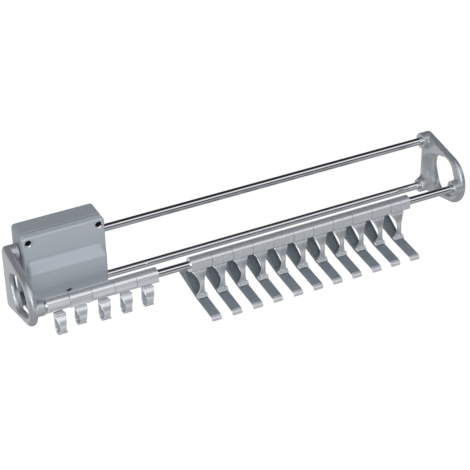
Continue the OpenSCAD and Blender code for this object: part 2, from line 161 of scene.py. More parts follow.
def build_floor():
    bm = bmesh.new()
    bmesh.ops.create_grid(bm, x_segments=1, y_segments=1, size=FLOOR_SIZE / 2)
    bmesh.ops.translate(bm, vec=(0, 0, -FLOOR_DROP), verts=bm.verts)
    mesh = bpy.data.meshes.new("floor")
    bm.to_mesh(mesh)
    bm.free()
    floor = bpy.data.objects.new("floor", mesh)
    bpy.context.collection.objects.link(floor)
    material = bpy.data.materials.new("pale floor")
    material.use_nodes = True
    tree = material.node_tree
    plain = tree.nodes["Principled BSDF"]
    plain.inputs["Base Color"].default_value = (0.86, 0.86, 0.87, 1)
    plain.inputs["Roughness"].default_value = 0.9
    glow = tree.nodes.new("ShaderNodeEmission")
    # Metal mirrors a floor of changing grey; the camera sees it all white
    coordinate = tree.nodes.new("ShaderNodeTexCoord")
    split = tree.nodes.new("ShaderNodeSeparateXYZ")
    depth = tree.nodes.new("ShaderNodeMapRange")
    first, last = FLOOR_STOPS[0][0], FLOOR_STOPS[-1][0]
    depth.inputs["From Min"].default_value = first
    depth.inputs["From Max"].default_value = last
    ramp = tree.nodes.new("ShaderNodeValToRGB")
    set_stops(ramp, [((y - first) / (last - first), level) for y, level in FLOOR_STOPS])
    strength = tree.nodes.new("ShaderNodeMix")
    strength.inputs["A"].default_value = FLOOR_WHITE
    tree.links.new(coordinate.outputs["Object"], split.inputs[0])
    tree.links.new(split.outputs["Y"], depth.inputs["Value"])
    tree.links.new(depth.outputs["Result"], ramp.inputs["Fac"])
    tree.links.new(ramp.outputs["Color"], strength.inputs["B"])
    tree.links.new(ray_mask(tree, ["Is Glossy Ray"]), strength.inputs["Factor"])
    tree.links.new(strength.outputs["Result"], glow.inputs["Strength"])
    mix = tree.nodes.new("ShaderNodeMixShader")
    seen = ray_mask(tree, ["Is Camera Ray", "Is Glossy Ray", "Is Transmission Ray"])
    tree.links.new(calculated(tree, "MULTIPLY", seen, FLOOR_GLOW_SHARE), mix.inputs["Fac"])
    tree.links.new(plain.outputs[0], mix.inputs[1])
    tree.links.new(glow.outputs[0], mix.inputs[2])
    tree.links.new(mix.outputs[0], tree.nodes["Material Output"].inputs["Surface"])
    mesh.materials.append(material)


def build_world():
    world = bpy.data.worlds.new("studio")
    bpy.context.scene.world = world
    world.use_nodes = True
    tree = world.node_tree
    soft = tree.nodes["Background"]
    soft.inputs["Color"].default_value = (0.93, 0.96, 1, 1)
    soft.inputs["Strength"].default_value = SOFT_WORLD
    pale = tree.nodes.new("ShaderNodeBackground")  # keeps its own light grey
    mirrored = tree.nodes.new("ShaderNodeBackground")
    # The turn of a ray about the rails: 0 in front, a quarter overhead, a half behind
    coordinate = tree.nodes.new("ShaderNodeTexCoord")
    split = tree.nodes.new("ShaderNodeSeparateXYZ")
    scale = tree.nodes.new("ShaderNodeMapRange")
    scale.inputs["From Min"].default_value = -math.pi
    scale.inputs["From Max"].default_value = math.pi
    ramp = tree.nodes.new("ShaderNodeValToRGB")
    set_stops(ramp, [((degrees + 180) / 360, level) for degrees, level in WORLD_STOPS])
    tree.links.new(coordinate.outputs["Generated"], split.inputs[0])
    forward = calculated(tree, "MULTIPLY", split.outputs["Y"], -1)
    turn = calculated(tree, "ARCTAN2", split.outputs["Z"], forward)
    tree.links.new(turn, scale.inputs["Value"])
    tree.links.new(scale.outputs["Result"], ramp.inputs["Fac"])
    tree.links.new(ramp.outputs["Color"], mirrored.inputs["Color"])
    show_mirror = tree.nodes.new("ShaderNodeMixShader")
    show_pale = tree.nodes.new("ShaderNodeMixShader")
    tree.links.new(ray_mask(tree, ["Is Glossy Ray"]), show_mirror.inputs["Fac"])
    tree.links.new(soft.outputs[0], show_mirror.inputs[1])
    tree.links.new(mirrored.outputs[0], show_mirror.inputs[2])
    seen = ray_mask(tree, ["Is Camera Ray", "Is Transmission Ray"])
    tree.links.new(seen, show_pale.inputs["Fac"])
    tree.links.new(show_mirror.outputs[0], show_pale.inputs[1])
    tree.links.new(pale.outputs[0], show_pale.inputs[2])
    tree.links.new(show_pale.outputs[0], tree.nodes["World Output"].inputs["Surface"])


def add_lamp(name, place, aim, size, watts):
    light = bpy.data.lights.new(name, "AREA")
    light.shape = "DISK"
    light.size = size
    light.energy = watts
    lamp = bpy.data.objects.new(name, light)
    bpy.context.collection.objects.link(lamp)
    lamp.location = place
    lamp.rotation_euler = (Vector(aim) - Vector(place)).to_track_quat("-Z", "Y").to_euler()


build_floor()
build_world()
rack_middle = (0.18, -0.05, 0)
add_lamp("front light", (-0.5, -1.9, 0.7), rack_middle, size=1.3, watts=18)
add_lamp("top light", (-0.2, -0.5, 1.6), rack_middle, size=1.2, watts=4)
add_lamp("side light", (-1.6, -0.3, 0.6), rack_middle, size=0.9, watts=3)
print("studio ready")

# %% [markdown]
# Four effects serve several finishes, so each is a node group with named inputs. A mottle
# makes slow changes of tone, a grain gives the fine relief of a moulded or sprayed skin, an
# edge mask finds the corners, which the finishes paint lighter, partly as wear and partly as a
# painted edge highlight, and a scratch relief runs fine lines along one axis. Their noise reads
# Object coordinates, so it stays on the piece from every side. The edge mask also reads
# Pointiness, which belongs to vertices and is blended across each face, so on a large face the
# mask can reach far from the edge.

# %% Shared effects


def new_group(name, inputs, outputs):
    group = bpy.data.node_groups.new(name, "ShaderNodeTree")
    for label, value in inputs.items():
        socket = group.interface.new_socket(label, in_out="INPUT", socket_type="NodeSocketFloat")
        socket.default_value = value
    for label in outputs:
        group.interface.new_socket(label, in_out="OUTPUT", socket_type="NodeSocketFloat")
    return group, group.nodes.new("NodeGroupInput"), group.nodes.new("NodeGroupOutput")


def noise(tree, detail, stretch=(1, 1, 1)):
    """A noise texture on Object coordinates; the caller links or sets its Scale."""
    coordinate = tree.nodes.new("ShaderNodeTexCoord")
    mapping = tree.nodes.new("ShaderNodeMapping")
    mapping.inputs["Scale"].default_value = stretch
    texture = tree.nodes.new("ShaderNodeTexNoise")
    texture.inputs["Detail"].default_value = detail
    tree.links.new(coordinate.outputs["Object"], mapping.inputs["Vector"])
    tree.links.new(mapping.outputs["Vector"], texture.inputs["Vector"])
    return texture


def build_mottle():
    group, given, out = new_group("mottle", {"Scale": 60, "Low": 0.9, "High": 1.1}, ["Value"])
    texture = noise(group, 4)
    spread = group.nodes.new("ShaderNodeMapRange")
    spread.inputs["From Min"].default_value = 0.3
    spread.inputs["From Max"].default_value = 0.7
    group.links.new(given.outputs["Scale"], texture.inputs["Scale"])
    group.links.new(texture.outputs["Fac"], spread.inputs["Value"])
    group.links.new(given.outputs["Low"], spread.inputs["To Min"])
    group.links.new(given.outputs["High"], spread.inputs["To Max"])
    group.links.new(spread.outputs["Result"], out.inputs["Value"])
    return group


def build_grain():
    group, given, out = new_group("grain", {"Scale": 2500, "Coarse share": 0.4}, ["Height"])
    fine = noise(group, 2)
    coarse = noise(group, 2)
    coarse_scale = calculated(group, "MULTIPLY", given.outputs["Scale"], 0.22)
    blend = group.nodes.new("ShaderNodeMix")
    group.links.new(given.outputs["Scale"], fine.inputs["Scale"])
    group.links.new(coarse_scale, coarse.inputs["Scale"])
    group.links.new(given.outputs["Coarse share"], blend.inputs["Factor"])
    group.links.new(fine.outputs["Fac"], blend.inputs["A"])
    group.links.new(coarse.outputs["Fac"], blend.inputs["B"])
    group.links.new(blend.outputs["Result"], out.inputs["Height"])
    return group


# A patchy mask of the corners; there the finishes paint a lighter colour, partly as wear and partly
# as a painted edge highlight
def build_edge_wear_and_highlight():
    sockets = {"Start": 0.54, "End": 0.62, "Patch scale": 300}
    group, given, out = new_group("edge wear", sockets, ["Mask"])
    shape = group.nodes.new("ShaderNodeNewGeometry")
    spread = group.nodes.new("ShaderNodeMapRange")
    patches = noise(group, 5)
    cut = group.nodes.new("ShaderNodeMapRange")
    cut.inputs["From Min"].default_value = 0.4
    cut.inputs["From Max"].default_value = 0.62
    both = calculated(group, "MULTIPLY", spread.outputs["Result"], cut.outputs["Result"])
    group.links.new(shape.outputs["Pointiness"], spread.inputs["Value"])
    group.links.new(given.outputs["Start"], spread.inputs["From Min"])
    group.links.new(given.outputs["End"], spread.inputs["From Max"])
    group.links.new(given.outputs["Patch scale"], patches.inputs["Scale"])
    group.links.new(patches.outputs["Fac"], cut.inputs["Value"])
    group.links.new(both, out.inputs["Mask"])
    return group


def build_scratches(name, stretch):
    group, given, out = new_group(name, {"Scale": 900}, ["Height"])
    texture = noise(group, 3, stretch)
    group.links.new(given.outputs["Scale"], texture.inputs["Scale"])
    group.links.new(texture.outputs["Fac"], out.inputs["Height"])
    return group


effects = {
    "mottle": build_mottle(),
    "grain": build_grain(),
    "edge wear": build_edge_wear_and_highlight(),
    "lines along rails": build_scratches("lines along rails", (0.02, 1, 1)),
    "lines along arms": build_scratches("lines along arms", (1, 0.015, 0.2)),
}
print("effects", ", ".join(effects))

# %% [markdown]
# The finishes: a sprayed silver skin on plastic, polished chrome, a dull slate plastic,
# zinc-plated steel and a dark plastic for bushes. The sprayed skin is partly metallic, because
# its flakes mirror the studio softly; a mottle moves its tone and roughness, the grain gives
# its fine relief, and its edges are painted a little brighter, partly as wear and partly as a
# painted edge highlight. On the shell, the plates and the arms that edge tone is kept close to
# the base colour: with a brighter one the shell's back looked mottled. Constant values are set
# on the shader's own sockets.

# %% Make the finishes


def place_effect(tree, name, **values):
    node = tree.nodes.new("ShaderNodeGroup")
    node.node_tree = effects[name]
    for label, value in values.items():
        node.inputs[label.replace("_", " ")].default_value = value
    return node


def times(tree, colour, factor_socket):
    """The colour multiplied by a changing value."""
    scale = tree.nodes.new("ShaderNodeVectorMath")
    scale.operation = "SCALE"
    scale.inputs[0].default_value = colour
    tree.links.new(factor_socket, scale.inputs["Scale"])
    return scale.outputs["Vector"]


def mottled(tree, colour, scale, low, high):
    """The colour multiplied by a mottle."""
    tone = place_effect(tree, "mottle", Scale=scale, Low=low, High=high)
    return times(tree, colour, tone.outputs[0])


def vary_roughness(tree, shader, scale, low, high):
    patches = place_effect(tree, "mottle", Scale=scale, Low=low, High=high)
    tree.links.new(patches.outputs[0], shader.inputs["Roughness"])


def blend_colours(tree, mask, first, second):
    mix = tree.nodes.new("ShaderNodeMix")
    mix.data_type = "RGBA"
    # A colour Mix keeps its colour sockets at places 6, 7 and 2; its names find the float ones
    tree.links.new(mask, mix.inputs[0])
    tree.links.new(first, mix.inputs[6])
    mix.inputs[7].default_value = (*second, 1)
    return mix.outputs[2]


def add_relief(tree, shader, height, strength, distance):
    bump = tree.nodes.new("ShaderNodeBump")
    bump.inputs["Strength"].default_value = strength
    bump.inputs["Distance"].default_value = distance
    tree.links.new(height, bump.inputs["Height"])
    tree.links.new(bump.outputs["Normal"], shader.inputs["Normal"])


def start_material(name):
    material = bpy.data.materials.new(name)
    material.use_nodes = True
    tree = material.node_tree
    return material, tree, tree.nodes["Principled BSDF"]


def sprayed_silver(name, colour, worn_and_highlit, metallic, rough, grain_strength=0.08):
    material, tree, shader = start_material(name)
    tone = place_effect(tree, "mottle", Scale=30, Low=0.985, High=1.015)
    fleck = place_effect(tree, "mottle", Scale=1700, Low=0.96, High=1.04)
    both = calculated(tree, "MULTIPLY", tone.outputs[0], fleck.outputs[0])
    # Corners get the lighter colour: partly wear, partly a painted edge highlight
    wear_and_highlight = place_effect(tree, "edge wear", Start=0.53, End=0.6)
    base = blend_colours(tree, wear_and_highlight.outputs[0], times(tree, colour, both), worn_and_highlit)
    tree.links.new(base, shader.inputs["Base Color"])
    vary_roughness(tree, shader, 90, rough - 0.012, rough + 0.012)
    shader.inputs["Metallic"].default_value = metallic
    grain = place_effect(tree, "grain", Scale=1500)
    add_relief(tree, shader, grain.outputs[0], grain_strength, 0.05 * MM)
    return material


def chrome():
    material, tree, shader = start_material("polished chrome")
    base = mottled(tree, (0.80, 0.81, 0.83), 30, 0.97, 1.03)
    tree.links.new(base, shader.inputs["Base Color"])
    vary_roughness(tree, shader, 120, 0.045, 0.09)
    shader.inputs["Metallic"].default_value = 1
    lines = place_effect(tree, "lines along rails", Scale=2200)
    add_relief(tree, shader, lines.outputs[0], 0.06, 0.02 * MM)
    return material


def slate_plastic():
    material, tree, shader = start_material("slate plastic")
    slate = mottled(tree, (0.15, 0.175, 0.2), 70, 0.9, 1.1)
    # The arm's corners are painted lighter, partly as wear and partly as painted highlights along
    # its rims
    wear_and_highlight = place_effect(tree, "edge wear", Start=0.52, End=0.6)
    base = blend_colours(tree, wear_and_highlight.outputs[0], slate, (0.19, 0.215, 0.24))
    tree.links.new(base, shader.inputs["Base Color"])
    vary_roughness(tree, shader, 160, 0.42, 0.56)
    lines = place_effect(tree, "lines along arms", Scale=1300)
    add_relief(tree, shader, lines.outputs[0], 0.5, 0.12 * MM)
    return material


def zinc():
    material, tree, shader = start_material("zinc-plated steel")
    base = mottled(tree, (0.62, 0.63, 0.63), 400, 0.85, 1.1)
    tree.links.new(base, shader.inputs["Base Color"])
    vary_roughness(tree, shader, 700, 0.22, 0.4)
    shader.inputs["Metallic"].default_value = 1
    return material


def bush_plastic():
    material, tree, shader = start_material("dark bush plastic")
    base = mottled(tree, (0.03, 0.03, 0.033), 200, 0.85, 1.15)
    tree.links.new(base, shader.inputs["Base Color"])
    vary_roughness(tree, shader, 300, 0.35, 0.5)
    grain = place_effect(tree, "grain", Scale=1500)
    add_relief(tree, shader, grain.outputs[0], 0.3, 0.05 * MM)
    return material


# Each sprayed finish: its base colour, its lighter edge colour (wear and painted edge highlight),
# how metallic and how rough it is
finishes = {
    # Cover and shell carry one silver paint: the cover is coloured lighter as painted light on the
    # front, the shell darker as painted shade on the top
    "housing_front": sprayed_silver("silver cover with painted light", (0.375, 0.41, 0.445), (0.5, 0.53, 0.56),
                                    0.25, 0.5),
    "housing_back": sprayed_silver("silver shell with painted shade", (0.29, 0.315, 0.34), (0.31, 0.335, 0.36),
                                   0.25, 0.5, grain_strength=0.015),
    "plate": sprayed_silver("satin grip metal", (0.46, 0.485, 0.51), (0.49, 0.515, 0.54),
                            0.7, 0.36, grain_strength=0.03),
    "belt_hook": sprayed_silver("bright silver", (0.72, 0.74, 0.77), (0.88, 0.9, 0.92),
                                0.72, 0.24),
    "tie_clip": sprayed_silver("silver", (0.64, 0.665, 0.69), (0.85, 0.87, 0.89), 0.72, 0.26),
    "tie_tip": sprayed_silver("bright tip silver", (0.6, 0.62, 0.645), (0.9, 0.91, 0.93),
                              0.6, 0.3),
    "tie_arm": slate_plastic(),
    "rail": chrome(),
    "screw": zinc(),
    "bush": bush_plastic(),
}
slot_of = {part["node"]: part["material_slot"] for part in frame["record"]["subparts"]}
for node, obj in frame["nodes"].items():
    obj.data.materials.clear()
    obj.data.materials.append(finishes[slot_of[node]])
print("finishes", ", ".join(finishes))

# %% [markdown]
# Every piece is built in the same way. A bmesh holds one simple form; `settled` turns it into
# a finished mesh, with a wall where the form is a ribbon and with rounded edges from a bevel,
# which moulded and stamped pieces have. `carved` cuts or joins by booleans. `make_piece` joins
# such meshes, moves them to their place, shades them smoothly except at sharp edges, ties the
# piece to its body and hides the solid that it stands for, if there is one.

# %% Helpers that build and place a piece
SHARP = math.radians(50)


def settled(bm, wall=0.0, rim=0.0, segments=3, limit=35):
    mesh = bpy.data.meshes.new("work")
    bm.to_mesh(mesh)
    bm.free()
    work = bpy.data.objects.new("work", mesh)
    bpy.context.collection.objects.link(work)
    if wall:
        shell = work.modifiers.new("wall", "SOLIDIFY")
        shell.thickness = wall
        shell.offset = -1
        shell.use_even_offset = True
    if rim:
        edge = work.modifiers.new("rim", "BEVEL")
        edge.width = rim
        edge.segments = segments
        edge.limit_method = "ANGLE"
        edge.angle_limit = math.radians(limit)
    graph = bpy.context.evaluated_depsgraph_get()
    graph.update()
    result = bpy.data.meshes.new_from_object(work.evaluated_get(graph))
    bpy.data.objects.remove(work)
    return result


def carved(mesh, cutters, operation="DIFFERENCE"):
    """The mesh less each cutter, or by operation joined to it or kept only inside it."""
    work = bpy.data.objects.new("work", mesh)
    bpy.context.collection.objects.link(work)
    tools = []
    for cutter in cutters:
        tool = bpy.data.objects.new("tool", cutter)
        bpy.context.collection.objects.link(tool)
        cut = work.modifiers.new("cut", "BOOLEAN")
        cut.operation = operation
        cut.solver = "EXACT"
        cut.object = tool
        tools.append(tool)
    graph = bpy.context.evaluated_depsgraph_get()
    graph.update()
    result = bpy.data.meshes.new_from_object(work.evaluated_get(graph))
    for obj in [work, *tools]:
        bpy.data.objects.remove(obj)
    return result


def make_piece(name, meshes, finish, body, nodes=(), place=Matrix()):
    bm = bmesh.new()
    for mesh in meshes:
        bm.from_mesh(mesh)
    bmesh.ops.transform(bm, matrix=place, verts=bm.verts)
    mesh = bpy.data.meshes.new(name)
    bm.to_mesh(mesh)
    bm.free()
    mesh.polygons.foreach_set("use_smooth", [True] * len(mesh.polygons))
    mesh.set_sharp_from_angle(angle=SHARP)
    mesh.materials.append(finishes[finish])
    piece = bpy.data.objects.new(name, mesh)
    bpy.context.collection.objects.link(piece)
    piece.modifiers.new("even shading", "WEIGHTED_NORMAL").keep_sharp = True
    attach(piece, body)
    if nodes:
        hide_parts(*nodes)
    return piece


def outline(bm, points):
    """A closed line through points given as (y, z) at x = 0."""
    verts = [bm.verts.new((0, y, z)) for y, z in points]
    return [bm.edges.new((a, b)) for a, b in zip(verts, verts[1:] + verts[:1])]


def arc(centre, radius, start, end, steps):
    """Points (y, z) on an arc, with its angles in degrees from +Y towards +Z."""
    angles = [math.radians(start + (end - start) * i / steps) for i in range(steps + 1)]
    return [(centre[0] + radius * math.cos(a), centre[1] + radius * math.sin(a)) for a in angles]


def extrude(bm, vec):
    """Extrudes a flat form by a vector in millimetres."""
    grown = bmesh.ops.extrude_face_region(bm, geom=bm.faces[:])["geom"]
    fresh = [v for v in grown if isinstance(v, bmesh.types.BMVert)]
    bmesh.ops.translate(bm, vec=[c * MM for c in vec], verts=fresh)
    bmesh.ops.recalc_face_normals(bm, faces=bm.faces)


def side_slab(points, x_low, x_high, rim=0.0, segments=3, limit=35):
    """A side view, filled and extruded along the rails, with rounded edges."""
    bm = bmesh.new()
    edges = outline(bm, [(y * MM, z * MM) for y, z in points])
    bmesh.ops.contextual_create(bm, geom=edges)
    bmesh.ops.translate(bm, vec=(x_low * MM, 0, 0), verts=bm.verts)
    extrude(bm, (x_high - x_low, 0, 0))
    return settled(bm, rim=rim * MM, segments=segments, limit=limit)


def bar(centre, radius, x_low, x_high, segments=64):
    """A plain round bar along the rails, often used as a cutter."""
    bm = bmesh.new()
    bmesh.ops.create_cone(bm, cap_ends=True, segments=segments, radius1=radius * MM,
                          radius2=radius * MM, depth=(x_high - x_low) * MM)
    bmesh.ops.rotate(bm, matrix=Matrix.Rotation(math.pi / 2, 3, "Y"), verts=bm.verts)
    bmesh.ops.translate(bm, vec=((x_low + x_high) / 2 * MM, centre[0] * MM, centre[1] * MM),
                        verts=bm.verts)
    return settled(bm)


def turned(points, centre, steps=72):
    """A profile of (radius, x) spun about an axis along the rails."""
    bm = bmesh.new()
    verts = [bm.verts.new((x * MM, (centre[0] + r) * MM, centre[1] * MM)) for r, x in points]
    edges = [bm.edges.new(pair) for pair in zip(verts, verts[1:])]
    bmesh.ops.spin(bm, geom=verts + edges, cent=(0, centre[0] * MM, centre[1] * MM), axis=(1, 0, 0),
                   angle=2 * math.pi, steps=steps, use_merge=True, use_duplicate=False)
    bmesh.ops.remove_doubles(bm, verts=bm.verts, dist=1e-7)
    bmesh.ops.recalc_face_normals(bm, faces=bm.faces)
    return settled(bm)


def block(low, high):
    """A box between two corners given in millimetres."""
    bm = bmesh.new()
    bmesh.ops.create_cube(bm, size=1)
    bmesh.ops.scale(bm, vec=[(b - a) * MM for a, b in zip(low, high)], verts=bm.verts)
    bmesh.ops.translate(bm, vec=[(a + b) / 2 * MM for a, b in zip(low, high)], verts=bm.verts)
    return settled(bm)


def across(mesh, x, z, y=0.0):
    """Turns a mesh made along +X to point along -Y, at (x, y, z) in millimetres."""
    turn = Matrix.Rotation(-math.pi / 2, 4, "Z")
    mesh.transform(Matrix.Translation((x * MM, y * MM, z * MM)) @ turn)
    return mesh


print("helpers ready")

# %% [markdown]
# The rails are drawn tubes. Each is a profile spun about the rail's axis, so its surface is
# perfectly round, with a small turned chamfer where it enters the end plates. A fine spin of
# 96 steps keeps the mirrored stripes straight.

# %% Rails
for node in ("rail_top", "rail_low", "rail_hook"):
    low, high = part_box(node)
    axis = (middle(node).y / MM, middle(node).z / MM)
    radius = rail_r / MM
    chamfer = 0.4
    ends = (low.x / MM, high.x / MM)
    profile = [(0, ends[0]), (radius - chamfer, ends[0]), (radius, ends[0] + chamfer),
               (radius, ends[1] - chamfer), (radius - chamfer, ends[1]), (0, ends[1])]
    make_piece(node + "_tube", [turned(profile, axis, steps=96)], "rail", "frame", [node])
print("rails", 3)

# %% [markdown]
# An end plate is a moulded D seen along the rails. Its outline runs round three circles: a
# wide nose in front and the bosses of the two slide rails behind. The grip is round to the
# touch, so the plate is a stack of that one outline, each step moved in a little further, and
# bridge_loops skins step to step. A formula gives the outline: for each direction, the circle
# that reaches furthest. The hand hole is the same idea round four circles, used as a cutter.
# A second cutter sinks a soft dish into the web round it, down to a thin lip, and a cheek
# thickens the web towards its back edge.

# %% End plate outline


def belt_normals(circles, count=120):
    """Pairs of a direction and the circle that reaches furthest that way, once round a belt."""
    pairs = []
    for i in range(count):
        angle = 2 * math.pi * i / count
        cos, sin = math.cos(angle), math.sin(angle)
        best = max(circles, key=lambda c: c[0] * cos + c[1] * sin + c[2])
        if pairs and pairs[-1][2] != best:
            pairs.append((cos, sin, pairs[-1][2]))
        pairs.append((cos, sin, best))
    return pairs


def belt_points(normals, grow, back=0.0, down=0.0):
    """The belt's outline grown and moved, in millimetres; the number of points stays."""
    return [(y + back + (r + grow) * cos, z - down + (r + grow) * sin)
            for cos, sin, (y, z, r) in normals]


def skin_loops(bm, levels):
    """Skins closed lines, given as (x, points), one to the next."""
    loops = []
    for x, points in levels:
        edges = outline(bm, [(y * MM, z * MM) for y, z in points])
        verts = list({v for e in edges for v in e.verts})
        bmesh.ops.translate(bm, vec=(x * MM, 0, 0), verts=verts)
        loops.append(edges)
    for first, second in zip(loops, loops[1:]):
        bmesh.ops.bridge_loops(bm, edges=first + second)
    return loops


def belt_solid(normals, levels):
    """A closed solid from steps of one outline: (grow, x) and perhaps how far back and down."""
    bm = bmesh.new()
    loops = skin_loops(bm, [(x, belt_points(normals, grow, *moved)) for grow, x, *moved in levels])
    for loop in (loops[0], loops[-1]):
        bmesh.ops.edgeloop_fill(bm, edges=loop)
    bmesh.ops.recalc_face_normals(bm, faces=bm.faces)
    return settled(bm)


def quarter_round(width, depth, steps, start_x, direction):
    """Steps (grow, x) of a rounded edge that falls back by width over depth."""
    rows = []
    for i in range(steps + 1):
        a = math.pi / 2 * i / steps
        rows.append((-width * (1 - math.cos(a)), start_x + direction * depth * math.sin(a)))
    return rows


PLATE_T = 8.4  # the plate's thickness
BOSS = 6.9  # how far the bosses stand out of the inner face
OUTER_ROUND = (6.5, 4)  # width and depth of the rim's rounding
INNER_ROUND = (3.8, 3.8)
HOLE_LIP = (4.4, 5.2)  # depths between which the hole's lip is straight
DISH = (2.3, 13.7, 3.5)  # how far the dish grows, moves back and moves down as it opens
CHEEK_OUT = 1.9  # how far the web's back edge stands out of the inner face
top_back = ((slide_rails[0].y - hook_axis.y) / MM, (slide_rails[0].z - hook_axis.z) / MM)
low_back = ((slide_rails[1].y - hook_axis.y) / MM, (slide_rails[1].z - hook_axis.z) / MM)
plate_circles = [(20, 0, 27.3), (*top_back, 8.7), (*low_back, 7.6)]
hole_circles = [(20.5, -4.5, 15), (37.5, 1.5, 15), (33, -7.5, 15.5), (25, 6.5, 15)]


def back_cheek():
    """The web grows thicker towards its back edge, in a soft ramp."""
    edge = top_back[0] + 8.7 - INNER_ROUND[0] - 0.2
    profile = [(3, edge), (-1.2, edge), (-CHEEK_OUT, edge - 0.7)]
    profile += [(-CHEEK_OUT + 2.5 * (i / 6) ** 1.5, edge - 0.7 - 16 * i / 6) for i in range(1, 7)]
    profile += [(3, edge - 16.7)]
    bm = bmesh.new()
    bm.faces.new([bm.verts.new((x * MM, y * MM, low_back[1] * MM)) for x, y in profile])
    extrude(bm, (0, 0, top_back[1] - low_back[1]))
    return settled(bm)


def plate_body():
    """The plate without bosses; x = 0 is the inner face and x = PLATE_T the outer."""
    rim = quarter_round(*INNER_ROUND, 8, INNER_ROUND[1], -1)[::-1]
    rim += quarter_round(*OUTER_ROUND, 12, PLATE_T - OUTER_ROUND[1], 1)
    near = HOLE_LIP[0]
    grow, back, down = DISH
    dish = []
    for i in range(9):
        share = i / 8
        depth = near - (near + CHEEK_OUT) * (1 - math.cos(math.pi * share)) / 2
        dish.append((0.1 + grow * share, depth, back * share, down * share))
    dish.append((dish[-1][0], -4, back, down))
    solid = carved(belt_solid(belt_normals(plate_circles), rim), [back_cheek()], "UNION")
    return carved(solid, [hand_hole(), belt_solid(belt_normals(hole_circles), dish)])


def hand_hole():
    """The cutter for the hole, rounded on the inner side and flared on the outer."""
    near, far = HOLE_LIP
    bore = [(-g, x) for g, x in quarter_round(2.6, near, 8, near, -1)[-2::-1]]
    bore = [(bore[0][0], -9), *bore]
    # The flare grows and moves forward at once, so it is wide in front and narrow behind
    bore += [(-0.56 * g, x, 0.44 * g)
             for g, x in quarter_round(8, PLATE_T - far, 8, far, 1)[:-1]]
    bore.append((bore[-1][0], PLATE_T + 1, bore[-1][2]))
    return belt_solid(belt_normals(hole_circles), bore)


def plate_boss(centre, radius):
    """A hollow boss with a rounded lip; its root runs on through the plate's rounded rim."""
    lip = 0.9
    root = [(0, INNER_ROUND[1]), (radius, INNER_ROUND[1])]
    turns = [math.radians(a) for a in (0, 22, 45, 67, 90)]
    top = [(radius - lip + lip * math.cos(a), -BOSS + lip - lip * math.sin(a)) for a in turns]
    inner = [(BORE_R + lip / 2, -BOSS), (BORE_R, -BOSS + lip / 2), (BORE_R, 2), (0, 2)]
    return turned(root + top + inner, centre)


def boss_fillet(centre, radius, flare, height):
    """A soft foot round a boss, cut off where it would leave the plate's flat inner face."""
    foot = [(radius - 1, 4), (radius + flare, 4)]
    turns = [math.radians(a) for a in range(0, 91, 6)]
    foot += [(radius + flare * (1 - math.sin(a)), -height * (1 - math.cos(a))) for a in turns]
    foot += [(radius - 1, -height), (radius - 1, 4)]
    inset = -INNER_ROUND[0]
    edge = belt_solid(belt_normals(plate_circles), [(inset, -8), (inset, 5)])
    return carved(turned(foot, centre), [edge], "INTERSECT")


print("plate outline of", len(belt_normals(plate_circles)), "points")

# %% Both end plates
# Each boss: its centre, its radius, and the flare and height of its foot
plate_bosses = [((0, 0), 8.3, 1.6, 1.6), (top_back, 8.7, 3, 3), (low_back, 7.6, 15, 6.4)]
for side, node in ((-1, "plate_left"), (1, "plate_right")):
    low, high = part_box(node)
    inner_face = low.x + BOSS * MM if side > 0 else high.x - BOSS * MM
    meshes = [plate_body()]
    for centre, radius, flare, height in plate_bosses:
        meshes.append(plate_boss(centre, radius))
        meshes.append(carved(boss_fillet(centre, radius, flare, height), [hand_hole()]))
    place = Matrix.Translation((inner_face, hook_axis.y, hook_axis.z))
    if side < 0:
        place = place @ Matrix.Scale(-1, 4, (1, 0, 0))
    piece = make_piece(node + "_grip", meshes, "plate", "frame", [node], place)
    if side < 0:
        piece.data.flip_normals()
print("end plates", 2)

# %% [markdown]
# The housing is two moulded shells. A cube gets round corners by a bevel of its four edges
# along the depth, and then its front rim is beveled, most of all on the cover. Between the
# shells runs a slightly smaller band, so a thin shadow line shows all round. Wells for the
# wall screws and holes for the slide rails are cut by booleans. Each well gets a black tube
# inside, which paints the shade deep in the well, and, at its mouth, a bright conical eyelet;
# neither has a solid of its own. The belly on the cover is a soft swelling, and a formula says
# best how high it is at each place, so it is a fine grid moved outwards point by point. The
# faint label field is a dip of that same grid, about a third of a millimetre deep.

# %% Housing helpers
HALF_W, HALF_H = 43.2, 45
SEAM_START, SEAM_END, FRONT = 20, 23.6, 31
WELL_X, WELL_Z = 36.8, 38
BELLY_HALF_W, BELLY_TOP, BELLY_LOW = 41.6, 18, -33
BELLY_OUT, BELLY_CORNER, BELLY_ROLL = 9.5, 11, 4
FULL_TOP, FULL_LOW = 6, -10  # heights between which the belly stands out in full
LABEL_HALF_W, LABEL_TOP, LABEL_LOW, LABEL_DIP = 20, 17, -11, 0.35
WELL_R, MOUTH_R, WALL_HOLE_R, SCREW_HOLE_R = 3.1, 4.1, 1.9, 2.9
BUSH_WALL = 1.65
SCREW_Z = screw_place.z / MM


def rounded_block(half_x, half_z, near, far, corner, front_rim):
    """A box standing out from Y = -near to -far, its corners round as seen from the front."""
    bm = bmesh.new()
    bmesh.ops.create_cube(bm, size=1)
    bmesh.ops.scale(bm, vec=(2 * half_x * MM, (far - near) * MM, 2 * half_z * MM), verts=bm.verts)
    bmesh.ops.translate(bm, vec=(0, -(near + far) / 2 * MM, 0), verts=bm.verts)
    along = [e for e in bm.edges if abs(e.verts[0].co.y - e.verts[1].co.y) > MM]
    bmesh.ops.bevel(bm, geom=along, offset=corner * MM, segments=10, profile=0.5,
                    affect="EDGES", material=-1)
    rim = [e for e in bm.edges if max(v.co.y for v in e.verts) < (-far + 0.01) * MM]
    bmesh.ops.bevel(bm, geom=rim, offset=front_rim * MM, segments=6, profile=0.5,
                    affect="EDGES", material=-1)
    return settled(bm)


def shaft(x, z, near, far, radius):
    """A round cutter that stands out from the wall."""
    return across(bar((0, 0), radius, near, far, segments=48), x, z)


